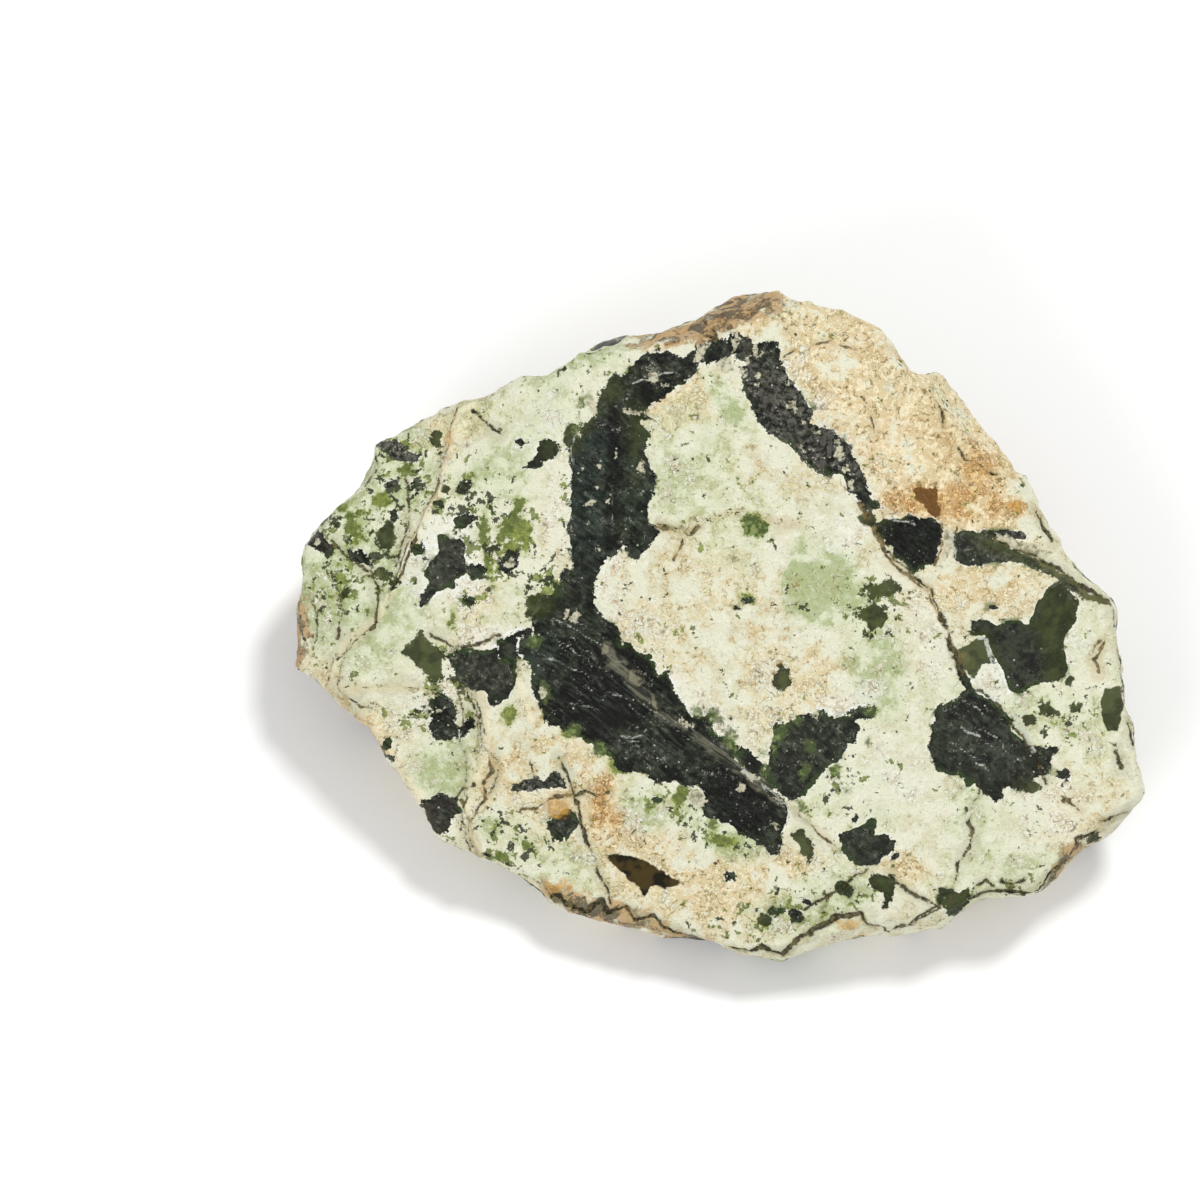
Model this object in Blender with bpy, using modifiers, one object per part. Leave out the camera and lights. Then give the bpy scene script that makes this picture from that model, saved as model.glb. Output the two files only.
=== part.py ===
"""Raw chrome chalcedony: one broken stone, rough all round, resting on a flat fracture.

The stone is modelled as it broke. A prism of its outline is split by flat fractures into the
broad upper face, the flanks round it and the undercut sides, then weathered by lumps, chips and
ledges, and last cut level underneath, where it rests.

Two frames are used. The chart is a grid laid square on the broad upper face: x runs to the
right, y runs down, towards the front, and level is the height above that face. The row frame is
in metres, with +Z up and +Y to the back. The face leans forward by FACE_LEAN between the two.
"""

import math

import bmesh
import bpy
from mathutils import Matrix, Vector, kdtree, noise

# Driving dimensions, in metres and degrees
LENGTH = 0.160  # from the left tip to the right corner
FACE_LEAN = 16.0  # the broad face dips towards the front
FRONT_HEIGHT = 0.0155  # of the broad face above the resting plane, at the front edge
RIM_ROUND = 0.0012  # how far the rim of the broad face is worn down
RIM_BAND = 0.0080  # below the rim, over which the sides grow rougher
FACET_EDGE = 0.0012  # grain of the weathering
TRIANGLES = 11600  # before the underside is cut level
HEADROOM = 0.002  # of the outline's prism above the broad face, before it is broken
MERGE = 1e-6  # points nearer than this are one
CUT_SLACK = 1e-7  # points nearer than this to a fracture lie on it
RIDGE_ANGLE = 35.0  # between two faces, above which the ridge between them is sharp

# The outline, square on to the broad face, in chart units: clockwise from the top apex
OUTLINE = [
    (766, 286), (778, 287), (795, 297), (815, 301), (833, 308), (841, 306), (860, 314),
    (881, 326), (899, 340), (910, 362), (916, 370), (925, 371), (938, 367), (953, 372),
    (967, 381), (975, 400), (987, 419), (1004, 439), (1013, 450), (1020, 463), (1035, 480),
    (1041, 497), (1054, 522), (1071, 555), (1091, 576), (1118, 602), (1123, 630), (1128, 675),
    (1130, 703), (1141, 740), (1147, 775), (1147, 795), (1130, 815), (1125, 826), (1108, 842),
    (1093, 850), (1078, 866), (1072, 876), (1056, 890), (1036, 898), (1010, 899), (988, 899),
    (972, 905), (958, 918), (945, 932), (920, 936), (895, 941), (875, 939), (855, 942),
    (838, 945), (810, 956), (790, 964), (778, 966), (758, 961), (730, 956), (700, 948),
    (670, 942), (640, 934), (600, 927), (575, 918), (548, 904), (538, 891), (520, 881),
    (500, 872), (480, 864), (457, 855), (443, 845), (427, 829), (416, 805), (398, 779),
    (381, 757), (372, 739), (352, 720), (332, 699), (303, 682), (290, 677), (286, 662),
    (289, 640), (287, 628), (294, 600), (296, 580), (292, 550), (300, 536), (317, 525),
    (333, 508), (353, 486), (366, 470), (370, 457), (367, 442), (381, 431), (400, 428),
    (407, 420), (435, 406), (463, 397), (480, 392), (484, 387), (508, 376), (530, 367),
    (545, 366), (562, 358), (583, 346), (604, 339), (624, 332), (655, 330), (670, 322),
    (692, 320), (705, 320), (725, 303), (753, 295),
]  # fmt: skip
CHART_CENTRE = (720, 630)
CHART_SPAN = max(x for x, _ in OUTLINE) - min(x for x, _ in OUTLINE)
CHART_UNIT = LENGTH / CHART_SPAN

# Fractures that break the flanks off the broad face: a chart point on the ridge where each one
# starts, the compass it faces (0 right, 90 to the back) and the angle it falls away at
FLANKS = {
    "left_shoulder": ((560, 500), 178, 6),
    "left_flank": ((432, 520), 166, 25),
    "left_tip": ((392, 612), 141, 27),
    "lower_left_flank": ((448, 760), 202, 30),
    "front_left_face": ((700, 722), 227, 9),
    "front_left_rim": ((640, 909), 254, 56),
    "front_rim": ((850, 928), 280, 58),
    "front_right_rim": ((1084, 838), 311, 50),
    "right_face": ((985, 640), 28, 7),
    "right_rim": ((1126, 690), 6, 58),
    "upper_right_rim": ((1062, 562), 41, 52),
    "upper_right_face": ((812, 402), 36, 9),
    "top_rim": ((690, 338), 103, 48),
    "top_left_rim": ((545, 374), 117, 46),
}  # fmt: skip

# Fractures of the undercut sides: the compass each one faces, its angle to the broad face, and
# how thick the rim is above it
SIDES = {
    "right_side": (4, 63, 0.0060),
    "upper_right_side": (33, 70, 0.0050),
    "right_back": (58, 76, 0.0040),
    "back": (88, 66, 0.0070),
    "left_back": (118, 73, 0.0040),
    "upper_left_side": (150, 58, 0.0045),
    "left_side": (182, 50, 0.0060),
    "lower_left_side": (214, 61, 0.0040),
    "front_left_side": (243, 68, 0.0040),
    "front_side": (268, 61, 0.0050),
    "front_right_side": (296, 70, 0.0035),
    "lower_right_side": (330, 57, 0.0050),
}

# Ledges: a chart line along the top of a small step, the side that drops (+1 is to the right of
# the line as it runs), how far it drops and how wide the dropped strip is, in metres
LEDGES = {
    "vein_step": (
        [(862, 498), (905, 572), (944, 622), (962, 690), (1008, 734), (1050, 792)],
        -1, 0.0011, 0.016,
    ),
    "upper_vein": ([(742, 368), (768, 428), (800, 462), (842, 476), (864, 512)], -1, 0.0013, 0.010),
    "left_vein": (
        [(700, 372), (640, 412), (652, 452), (650, 500), (634, 560), (604, 590)],
        1, 0.0009, 0.014,
    ),
    "diagonal_vein": ([(586, 590), (640, 665), (706, 739), (784, 804), (867, 872)], 1, 0.0013, 0.013),
    "left_crack": ([(466, 404), (441, 468), (418, 533), (389, 604), (340, 668)], 1, 0.0012, 0.016),
}  # fmt: skip

LEDGE_CREST = 0.25  # the share of a ledge's strip that drops in full
LEDGE_END = 0.2  # the share of a ledge's line over which it dies out, at each end

# Shallow shell-shaped hollows in the flanks: chart centre, radius and depth in metres
HOLLOWS = [
    ((610, 668), 0.0130, 0.0009),
    ((350, 560), 0.0120, 0.0013),
    ((436, 768), 0.0110, 0.0013),
    ((560, 850), 0.0120, 0.0009),
    ((905, 925), 0.0060, 0.0014),
    ((968, 420), 0.0140, 0.0010),
    ((1062, 640), 0.0120, 0.0008),
]

# Weathering: the size of each kind of lump and how far it stands, in metres
SWELL = (0.032, 0.0012)
LUMP = (0.011, 0.0007)
LUMP_DETAIL = (0.9, 2.1, 3)  # of a lump: how smooth it is, the ratio between sizes, and how many
CHIP = (0.016, 0.0030)
CHIP_TOP = 0.7  # the share of a chip's size out from its middle where it breaks the old surface
WANDER = (0.009, 0.0012)  # of the ledges from their lines
FACE_SHARE = 0.3  # of the weathering reaches the broad face and its rim
BURIED = 0.004  # how far the underside runs below the resting plane before it is cut level
COLOUR = (0.66, 0.68, 0.50, 1.0)
ROUGHNESS = 0.55


def clear_scene():
    for obj in list(bpy.data.objects):
        bpy.data.objects.remove(obj)


def on_chart(x, y, level=0.0):
    """A chart point as metres in the frame that lies square on the broad face."""
    return Vector(((x - CHART_CENTRE[0]) * CHART_UNIT, (CHART_CENTRE[1] - y) * CHART_UNIT, level))


def towards(compass):
    return Vector((math.cos(math.radians(compass)), math.sin(math.radians(compass)), 0.0))


def flank_plane(point, compass, fall):
    """A flank's point and outward normal."""
    angle = math.radians(fall)
    return on_chart(*point), towards(compass) * math.sin(angle) + Vector((0, 0, math.cos(angle)))


def face_level(place):
    """The height of the fractured top above or below a place on the chart."""
    levels = [0.0]
    for flank in FLANKS.values():
        point, normal = flank_plane(*flank)
        levels.append(-(place - point).dot(Vector((normal.x, normal.y, 0))) / normal.z)
    return min(levels)


def side_plane(compass, angle, rim):
    """A side's point, below the outermost rim on that compass, and its outward normal."""
    out = towards(compass)
    corner = max((on_chart(*p) for p in OUTLINE), key=out.dot)
    point = Vector((corner.x, corner.y, face_level(corner) - rim))
    slope = math.radians(angle)
    return point, out * math.sin(slope) - Vector((0, 0, math.cos(slope)))


def resting_plane(drop=0.0):
    """The level resting plane, a point and its downward normal, in the face's frame."""
    lean = math.radians(FACE_LEAN)
    up = Vector((0, math.sin(lean), math.cos(lean)))
    front = on_chart(CHART_CENTRE[0], max(y for _, y in OUTLINE))
    return front - up * (FRONT_HEIGHT + drop), -up


def split(mesh, point, normal):
    """Breaks off what lies beyond a plane, and closes the break."""
    everything = mesh.verts[:] + mesh.edges[:] + mesh.faces[:]
    cut = bmesh.ops.bisect_plane(
        mesh, geom=everything, plane_co=point, plane_no=normal, clear_outer=True, dist=CUT_SLACK
    )
    rim = [item for item in cut["geom_cut"] if isinstance(item, bmesh.types.BMEdge)]
    bmesh.ops.holes_fill(mesh, edges=rim, sides=0)


def outline_prism():
    """The stone's outline as a filled curve, deep enough for every fracture, made a mesh."""
    depth = LENGTH / 2
    curve = bpy.data.curves.new("outline", "CURVE")
    curve.dimensions = "2D"
    curve.fill_mode = "BOTH"
    curve.extrude = depth / 2
    spline = curve.splines.new("POLY")
    spline.points.add(len(OUTLINE) - 1)
    for knot, (x, y) in zip(spline.points, OUTLINE):
        knot.co = (*on_chart(x, y).xy, 0, 1)
    spline.use_cyclic_u = True
    helper = bpy.data.objects.new("outline", curve)
    bpy.context.scene.collection.objects.link(helper)
    bpy.context.view_layer.update()
    solid = bpy.data.meshes.new_from_object(helper.evaluated_get(bpy.context.evaluated_depsgraph_get()))
    bpy.data.objects.remove(helper)
    mesh = bmesh.new()
    mesh.from_mesh(solid)
    bmesh.ops.remove_doubles(mesh, verts=mesh.verts, dist=MERGE)
    bmesh.ops.translate(mesh, verts=mesh.verts, vec=(0, 0, -depth / 2 + HEADROOM))
    bmesh.ops.recalc_face_normals(mesh, faces=mesh.faces)
    return mesh


def fractured_block():
    """The prism, broken by every flat fracture."""
    mesh = outline_prism()
    split(mesh, Vector((0, 0, 0)), Vector((0, 0, 1)))
    for flank in FLANKS.values():
        split(mesh, *flank_plane(*flank))
    for side in SIDES.values():
        split(mesh, *side_plane(*side))
    split(mesh, *resting_plane(BURIED))
    return mesh


def object_of(mesh, name):
    data = bpy.data.meshes.new(name)
    mesh.to_mesh(data)
    mesh.free()
    obj = bpy.data.objects.new(name, data)
    bpy.context.scene.collection.objects.link(obj)
    return obj


def apply_modifiers(obj):
    """Makes the evaluated shape the object's own mesh."""
    bpy.context.view_layer.update()
    evaluated = obj.evaluated_get(bpy.context.evaluated_depsgraph_get())
    shaped = bpy.data.meshes.new_from_object(evaluated)
    obj.modifiers.clear()
    obj.data = shaped


def regrain(obj):
    """An even skin of small faces over the fractured block, for the weathering to move."""
    remesh = obj.modifiers.new("grain", "REMESH")
    remesh.mode = "VOXEL"
    remesh.voxel_size = FACET_EDGE
    apply_modifiers(obj)


def smooth_step(low, high, value):
    t = min(max((value - low) / (high - low), 0.0), 1.0)
    return t * t * (3 - 2 * t)


def beside_line(place, points):
    """The distance from a line, positive to its right, and how far along it that is, 0 to 1."""
    stretches = list(zip(points, points[1:]))
    found = []
    for number, (start, end) in enumerate(stretches):
        along = end - start
        share = min(max((place - start).dot(along) / along.length_squared, 0.0), 1.0)
        off = place - start - along * share
        side = -1 if along.x * off.y - along.y * off.x > 0 else 1
        found.append((off.length, side, (number + share) / len(stretches)))
    distance, side, share = min(found)
    return distance * side, share


def ledge_drop(place, line, side, drop, width):
    """A step down beside the line, which eases back up across the strip and at both ends."""
    wander = noise.noise_vector(place / WANDER[0]) * WANDER[1]
    place = Vector((place.x + wander.x, place.y + wander.y, 0))
    distance, share = beside_line(place, line)
    distance *= side
    across = smooth_step(0, FACET_EDGE, distance) * (1 - smooth_step(width * LEDGE_CREST, width, distance))
    along = smooth_step(0, LEDGE_END, share) * (1 - smooth_step(1 - LEDGE_END, 1, share))
    return drop * across * along


def hollow_drop(place, centre, radius, depth):
    share = (place - centre).length / radius
    return depth * (1 - share * share) if share < 1 else 0.0


def outline_finder():
    """Finds the nearest point of the outline, from points set close together along it."""
    corners = [on_chart(*p) for p in OUTLINE]
    points = []
    for start, end in zip(corners, corners[1:] + corners[:1]):
        steps = max(round((end - start).length / (FACET_EDGE / 2)), 1)
        points += [start.lerp(end, step / steps) for step in range(steps)]
    finder = kdtree.KDTree(len(points))
    for number, point in enumerate(points):
        finder.insert(point, number)
    finder.balance()
    return finder


def weathering(place, depth):
    """How far the surface stands out at a place: swells, lumps and shell-shaped chips."""
    swell = noise.noise(place / SWELL[0]) * SWELL[1]
    lump = noise.fractal(place / LUMP[0], *LUMP_DETAIL) * LUMP[1]
    distances, _ = noise.voronoi(place / CHIP[0])
    chip = (distances[0] - CHIP_TOP) * CHIP[1] * depth
    return (swell + lump) * (FACE_SHARE + (1 - FACE_SHARE) * depth) + chip


def weather(obj):
    """Moves the even skin: noise along its normals, then ledges, hollows and a worn rim."""
    ledges = [([on_chart(*p) for p in line], *rest) for line, *rest in LEDGES.values()]
    hollows = [(on_chart(*centre), *rest) for centre, *rest in HOLLOWS]
    outline = outline_finder()
    mesh = bmesh.new()
    mesh.from_mesh(obj.data)
    mesh.normal_update()
    moves = []
    for vert in mesh.verts:
        chart = Vector((vert.co.x, vert.co.y, 0))
        depth = smooth_step(0, RIM_BAND, face_level(chart) - vert.co.z)
        move = vert.normal * weathering(vert.co, depth)
        if depth < 1:
            drop = max(ledge_drop(chart, *ledge) for ledge in ledges)
            drop += sum(hollow_drop(chart, *hollow) for hollow in hollows)
            worn = 1 - min(outline.find(chart)[2] / (2 * RIM_ROUND), 1.0)
            move.z -= (drop + worn * worn * RIM_ROUND) * (1 - depth)
        moves.append(move)
    for vert, move in zip(mesh.verts, moves):
        vert.co += move
    mesh.to_mesh(obj.data)
    mesh.free()


def coarsen(obj):
    """Merges faces where the stone is flat, so that the ridges keep theirs."""
    obj.data.calc_loop_triangles()
    decimate = obj.modifiers.new("coarsen", "DECIMATE")
    decimate.ratio = TRIANGLES / len(obj.data.loop_triangles)
    decimate.use_collapse_triangulate = True
    apply_modifiers(obj)


def stand_level(obj):
    """Cuts the underside level, turns the stone as it rests and centres it on its base."""
    mesh = bmesh.new()
    mesh.from_mesh(obj.data)
    split(mesh, *resting_plane())
    bmesh.ops.triangulate(mesh, faces=[f for f in mesh.faces if len(f.verts) > 3])
    mesh.transform(Matrix.Rotation(math.radians(FACE_LEAN), 4, "X"))
    low = Vector(min(v.co[axis] for v in mesh.verts) for axis in range(3))
    high = Vector(max(v.co[axis] for v in mesh.verts) for axis in range(3))
    middle = (low + high) / 2
    mesh.transform(Matrix.Translation((-middle.x, -middle.y, -low.z)))
    for vert in mesh.verts:
        if vert.co.z < MERGE:
            vert.co.z = 0.0
    bmesh.ops.recalc_face_normals(mesh, faces=mesh.faces)
    mesh.to_mesh(obj.data)
    mesh.free()


def stone_material():
    material = bpy.data.materials.new("chalcedony")
    material.use_nodes = True
    shader = material.node_tree.nodes["Principled BSDF"]
    shader.inputs["Base Color"].default_value = COLOUR
    shader.inputs["Roughness"].default_value = ROUGHNESS
    shader.inputs["Metallic"].default_value = 0.0
    return material


def make_stone():
    stone = object_of(fractured_block(), "chalcedony_stone")
    regrain(stone)
    weather(stone)
    coarsen(stone)
    stand_level(stone)
    stone.data.materials.clear()
    stone.data.materials.append(stone_material())
    stone.data.shade_smooth()
    stone.data.set_sharp_from_angle(angle=math.radians(RIDGE_ANGLE))
    return stone


def main():
    clear_scene()
    collection = bpy.data.collections.new("raw_chrome_chalcedony")
    bpy.context.scene.collection.children.link(collection)
    stone = make_stone()
    bpy.context.scene.collection.objects.unlink(stone)
    collection.objects.link(stone)


main()
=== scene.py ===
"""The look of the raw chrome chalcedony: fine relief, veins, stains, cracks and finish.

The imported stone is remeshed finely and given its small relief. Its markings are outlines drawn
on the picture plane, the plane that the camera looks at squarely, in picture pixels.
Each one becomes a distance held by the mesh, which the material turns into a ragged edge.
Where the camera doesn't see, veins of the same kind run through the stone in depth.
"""

import math

import bmesh
import bpy
import numpy as np
from mathutils import Matrix, Vector, noise


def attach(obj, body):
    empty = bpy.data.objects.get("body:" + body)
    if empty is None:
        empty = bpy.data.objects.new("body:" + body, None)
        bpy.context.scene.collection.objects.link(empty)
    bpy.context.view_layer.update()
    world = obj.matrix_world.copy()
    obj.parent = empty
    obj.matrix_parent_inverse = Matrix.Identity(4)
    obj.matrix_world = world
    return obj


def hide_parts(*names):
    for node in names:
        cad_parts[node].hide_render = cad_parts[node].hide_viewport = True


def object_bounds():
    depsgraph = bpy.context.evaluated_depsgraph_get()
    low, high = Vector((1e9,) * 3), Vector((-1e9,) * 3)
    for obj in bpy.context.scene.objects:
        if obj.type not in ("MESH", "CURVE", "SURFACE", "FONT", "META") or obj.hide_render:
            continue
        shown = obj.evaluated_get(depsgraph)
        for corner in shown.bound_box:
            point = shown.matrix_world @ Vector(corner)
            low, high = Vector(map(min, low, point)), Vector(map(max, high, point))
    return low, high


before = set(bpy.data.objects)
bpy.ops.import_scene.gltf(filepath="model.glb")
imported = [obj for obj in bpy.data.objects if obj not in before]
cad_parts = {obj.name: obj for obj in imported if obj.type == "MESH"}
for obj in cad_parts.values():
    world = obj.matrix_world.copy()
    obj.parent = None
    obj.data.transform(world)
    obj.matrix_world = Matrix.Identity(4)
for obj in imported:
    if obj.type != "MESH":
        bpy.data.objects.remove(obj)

CAD_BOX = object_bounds()
NODE = "chalcedony_stone"
MM = 0.001

# The picture plane: pixels run right and down, and the broad face of the stone lies in it
PICTURE_SIZE = 1200
STONE_SPAN = 860  # pixels, from the stone's left tip to its right corner
PIXEL = (CAD_BOX[1][0] - CAD_BOX[0][0]) / STONE_SPAN
FACE_PIXEL = (720, 630)
FACE_POINT = Vector((0.43, -4.33, 32.71)) * MM  # of the stone, under FACE_PIXEL
FACE_LEAN = math.radians(16)
LENS = 200
SENSOR = 36
SCALE_LEVEL = -4 * MM  # below the broad face, where a pixel is one PIXEL

# The fine mesh
GRAIN = 1.09 * MM
SPLIT_FACING = 0.3  # how far a face turns to the camera, above which it is split once
SPLIT_CRACKED = 0.2  # and again, above this, beside a crack
CRACK_REACH = 0.64  # mm beside a crack where that is done
FIELD_REACH = 4.0  # mm from an outline, beyond which its distance isn't followed
LINE_HALF = 0.25  # mm, half the width of a usual crack

# The small relief, in mm
VEINS_SINK = 0.16
RIDGE_RISE = 0.3
CREASE_RISE = 0.7
CRACK_DEPTH = 0.35
RUST_CRACK_DEPTH = 0.25

# Inside the stone
SHEET_ACROSS = Vector((0.8, 0.45, 0.4))  # the way across the dark sheets
SHEET_APART = 62 * MM

# The finish
CHALCEDONY_IOR = 1.54
STONE_SPECULAR = 0.13
BUMP_DEPTH = 0.5 * MM
BUMP_STRENGTH = 0.9

# The setting
FLOOR_SIZE = 6
FLOOR_GREY = 0.93
FLOOR_ROUGHNESS = 0.9
FLOOR_SPECULAR = 0.1
SKY_STRENGTH = 0.57
LIGHTS = {  # place, diameter and power
    "key": ((0.55, 0.75, 1.5), 0.36, 17),
    "fill": ((-0.8, -1.1, 1.0), 0.9, 10),
}
LIT_POINT = (0, 0, 0.02)


# -------------------- markings, in picture pixels

HOOK = [
    (875, 873), (889, 875), (896, 884), (893, 894), (889, 910), (881, 910), (883, 895), (867, 882),
]
RIM_MASS = [(940, 904), (940, 890), (969, 890), (969, 916), (950, 918)]
DARK = [
    # What joins the left patch and the centre patch to the main vein
    [(496, 648), (505, 636), (531, 625), (534, 638), (519, 640), (518, 651), (514, 664),
     (500, 658)],
    [(739, 745), (752, 752), (764, 765), (771, 783), (784, 799), (792, 818), (777, 812),
     (736, 760)],
    # The main vein, and the band on its right
    [(601, 386), (622, 374), (636, 359), (658, 350), (685, 355), (697, 349), (699, 362),
     (692, 380), (677, 391), (658, 402), (638, 413), (647, 417), (641, 423), (650, 434),
     (647, 446), (642, 453), (651, 469), (654, 479), (652, 500), (647, 522), (661, 532),
     (651, 545), (636, 562), (625, 547), (609, 557), (600, 569), (595, 586), (597, 605),
     (605, 623), (617, 626), (622, 643), (631, 641), (639, 654), (650, 655), (661, 674),
     (669, 672), (675, 692), (689, 704), (691, 715), (710, 717), (711, 733), (739, 745),
     (736, 760), (765, 785), (784, 799), (792, 818), (783, 828), (777, 853), (771, 853),
     (764, 843), (745, 837), (729, 828), (716, 819), (700, 816), (705, 799), (697, 785),
     (680, 784), (666, 782), (651, 782), (644, 771), (626, 774), (611, 760), (594, 750),
     (579, 740), (560, 729), (547, 727), (547, 715), (531, 692), (530, 668), (518, 651),
     (519, 640), (534, 638), (531, 621), (540, 600), (559, 591), (564, 574), (573, 567),
     (570, 539), (570, 485), (570, 443), (579, 428), (594, 415), (600, 397)],
    [(749, 362), (738, 368), (743, 393), (752, 412), (765, 431), (786, 443), (802, 460),
     (818, 472), (840, 476), (853, 493), (862, 510), (880, 509), (873, 497), (865, 474),
     (859, 463), (845, 441), (826, 425), (811, 424), (814, 411), (796, 390), (782, 365),
     (779, 343), (758, 341), (752, 350), (740, 333), (728, 332), (722, 345), (706, 340),
     (700, 352), (706, 366), (718, 362), (734, 356)],
    # At the right: the triangle and its tail
    [(871, 525), (893, 517), (931, 517), (943, 525), (940, 547), (937, 562), (925, 567),
     (915, 574), (908, 567), (887, 544)],
    [(953, 532), (972, 530), (1013, 532), (1024, 532), (1028, 539), (1001, 536), (990, 540),
     (1013, 548), (1028, 557), (1051, 569), (1087, 594), (1083, 596), (1050, 573), (1031, 566),
     (1010, 562), (990, 562), (968, 566), (955, 562)],
    # The larger patches: centre, upper right and lower right
    [(776, 723), (789, 723), (802, 713), (823, 712), (837, 718), (852, 712), (864, 707),
     (875, 705), (873, 717), (858, 721), (859, 746), (849, 743), (840, 762), (829, 766),
     (820, 778), (806, 797), (793, 800), (784, 799), (770, 784), (767, 762), (771, 740)],
    [(972, 620), (988, 619), (999, 627), (1003, 621), (1021, 619), (1028, 623), (1035, 607),
     (1046, 589), (1059, 582), (1069, 589), (1080, 602), (1076, 620), (1065, 635), (1065, 646),
     (1068, 667), (1060, 682), (1041, 683), (1019, 693), (1010, 689), (1004, 673), (991, 651),
     (985, 635), (972, 635)],
    [(958, 668), (968, 674), (978, 693), (999, 705), (1012, 720), (1012, 730), (1028, 743),
     (1049, 751), (1050, 744), (1060, 746), (1053, 756), (1047, 775), (1035, 779), (1022, 789),
     (1006, 788), (996, 807), (985, 794), (975, 784), (969, 790), (958, 774), (940, 776),
     (928, 750), (930, 733), (937, 707), (956, 699), (966, 689), (958, 680)],
    # The left flank
    [(441, 532), (449, 539), (462, 539), (468, 547), (463, 554), (468, 572), (455, 582),
     (456, 592), (447, 586), (427, 601), (421, 605), (421, 599), (428, 582), (424, 574),
     (438, 552), (435, 536)],
    [(446, 658), (460, 651), (496, 648), (500, 658), (514, 664), (516, 686), (509, 701),
     (491, 708), (485, 693), (462, 685)],
    [(433, 692), (443, 695), (456, 708), (453, 723), (460, 740), (434, 740), (430, 729),
     (431, 704)],
    [(317, 526), (331, 541), (336, 550), (327, 559), (317, 550), (302, 539)],
    [(349, 552), (361, 547), (368, 552), (371, 561), (383, 569), (381, 573), (362, 566),
     (353, 560)],
    [(374, 440), (397, 440), (408, 455), (418, 456), (416, 463), (403, 463), (383, 453)],
    [(522, 469), (540, 444), (547, 438), (560, 443), (558, 450), (542, 469)],
    # The front
    [(422, 799), (443, 793), (457, 798), (462, 810), (455, 819), (449, 836), (435, 835),
     (423, 819)],
    [(509, 790), (523, 780), (545, 778), (554, 772), (560, 773), (566, 789), (548, 791),
     (526, 791)],
    [(563, 810), (573, 809), (581, 822), (579, 828), (563, 841), (553, 844), (545, 826),
     (551, 819)],
    [(829, 828), (842, 834), (859, 828), (870, 816), (880, 821), (873, 835), (889, 834),
     (899, 841), (893, 851), (873, 866), (859, 865), (840, 853), (842, 843)],
    HOOK,
    RIM_MASS,
]
CRUST = [
    [(620, 335), (655, 328), (672, 318), (703, 310), (727, 294), (766, 281), (784, 288),
     (776, 302), (764, 313), (748, 322), (734, 334), (716, 341), (696, 349), (680, 343),
     (650, 344), (630, 347)],
    [(540, 884), (560, 884), (590, 900), (620, 903), (650, 914), (680, 930), (704, 940),
     (690, 952), (640, 935), (600, 927), (560, 912), (543, 898)],
    [(1046, 880), (1068, 850), (1082, 846), (1072, 872), (1055, 890), (1040, 896)],
    [(284, 592), (299, 588), (304, 620), (302, 655), (290, 664), (282, 630)],
]
OLIVE = [
    [(1046, 589), (1059, 582), (1080, 602), (1076, 620), (1065, 635), (1066, 667), (1060, 682),
     (1046, 683), (1050, 655), (1040, 625)],
    [(1100, 701), (1104, 687), (1128, 685), (1128, 693), (1120, 720), (1119, 730), (1107, 731),
     (1101, 718)],
    [(419, 626), (433, 642), (446, 661), (446, 672), (438, 682), (427, 680), (411, 658),
     (403, 652), (406, 645), (416, 632)],
    [(793, 835), (801, 832), (811, 841), (814, 850), (811, 863), (801, 853)],
    [(985, 535), (1010, 545), (1035, 556), (1056, 566), (1090, 592), (1116, 600), (1115, 607),
     (1088, 601), (1052, 577), (1030, 567), (1005, 555), (983, 547)],
    [(957, 650), (972, 640), (986, 636), (996, 662), (984, 664), (975, 680), (966, 672)],
    HOOK,
    RIM_MASS,
    [(1021, 716), (1034, 713), (1036, 722), (1027, 724)],
    [(1039, 711), (1044, 704), (1048, 699), (1053, 708), (1062, 711), (1060, 716), (1053, 713),
     (1046, 715), (1041, 716)],
    [(1068, 708), (1071, 700), (1076, 706), (1085, 693), (1091, 693), (1087, 704), (1078, 711),
     (1073, 713)],
    [(1073, 716), (1077, 716), (1078, 722), (1073, 722)],
]
BROWN = [
    [(606, 855), (629, 854), (655, 866), (680, 883), (666, 890), (657, 887), (651, 885),
     (647, 895), (641, 899), (638, 887), (622, 873), (613, 864)],
]
GREEN = [
    [(526, 499), (524, 506), (518, 513), (514, 524), (510, 522), (509, 513), (516, 502)],
    [(493, 533), (500, 529), (509, 524), (520, 519), (527, 522), (534, 531), (533, 544),
     (531, 555), (524, 558), (523, 544), (518, 536), (509, 540), (507, 549), (498, 544),
     (494, 540)],
    [(483, 517), (489, 524), (487, 533), (489, 544), (480, 544), (478, 536), (480, 524)],
]
AMBER = [(914, 490), (937, 488), (937, 500), (941, 516), (934, 518), (928, 513), (917, 498)]
LENS_REGION = [
    (531, 621), (560, 600), (600, 620), (640, 690), (700, 740), (690, 760), (640, 752), (580, 720),
    (545, 705), (528, 660),
]

# Round or long spots: centre, half length, half width and the turn of the long side, degrees
DARK_SPOTS = [
    (712, 349, 16, 15), (746, 351, 12, 13), (768, 350, 10, 9), (465, 521, 12, 7, 20),
    (477, 571, 10, 9), (419, 547, 8, 7, 40), (509, 563, 14, 9, 70), (393, 515, 4, 5),
    (395, 582, 7, 5), (390, 483, 9, 4), (414, 484, 9, 5, 70), (465, 485, 8, 5, 50),
    (440, 504, 6, 5), (522, 441, 6, 4), (564, 366, 4, 3), (470, 601, 6, 4), (748, 602, 4, 2, -50),
    (741, 609, 3, 1, -10), (388, 744, 6, 4, 30), (388, 759, 6, 5), (484, 856, 5, 3),
    (657, 800, 4, 3), (730, 880, 4, 8), (855, 819, 4, 4), (895, 857, 4, 3), (993, 607, 4, 2),
    (468, 727, 10, 7, 60), (842, 888, 9, 6, -20), (796, 915, 8, 5, -30), (807, 903, 8, 3, -20),
    (778, 913, 8, 3, 10), (1063, 774, 5, 4),
]
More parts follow.
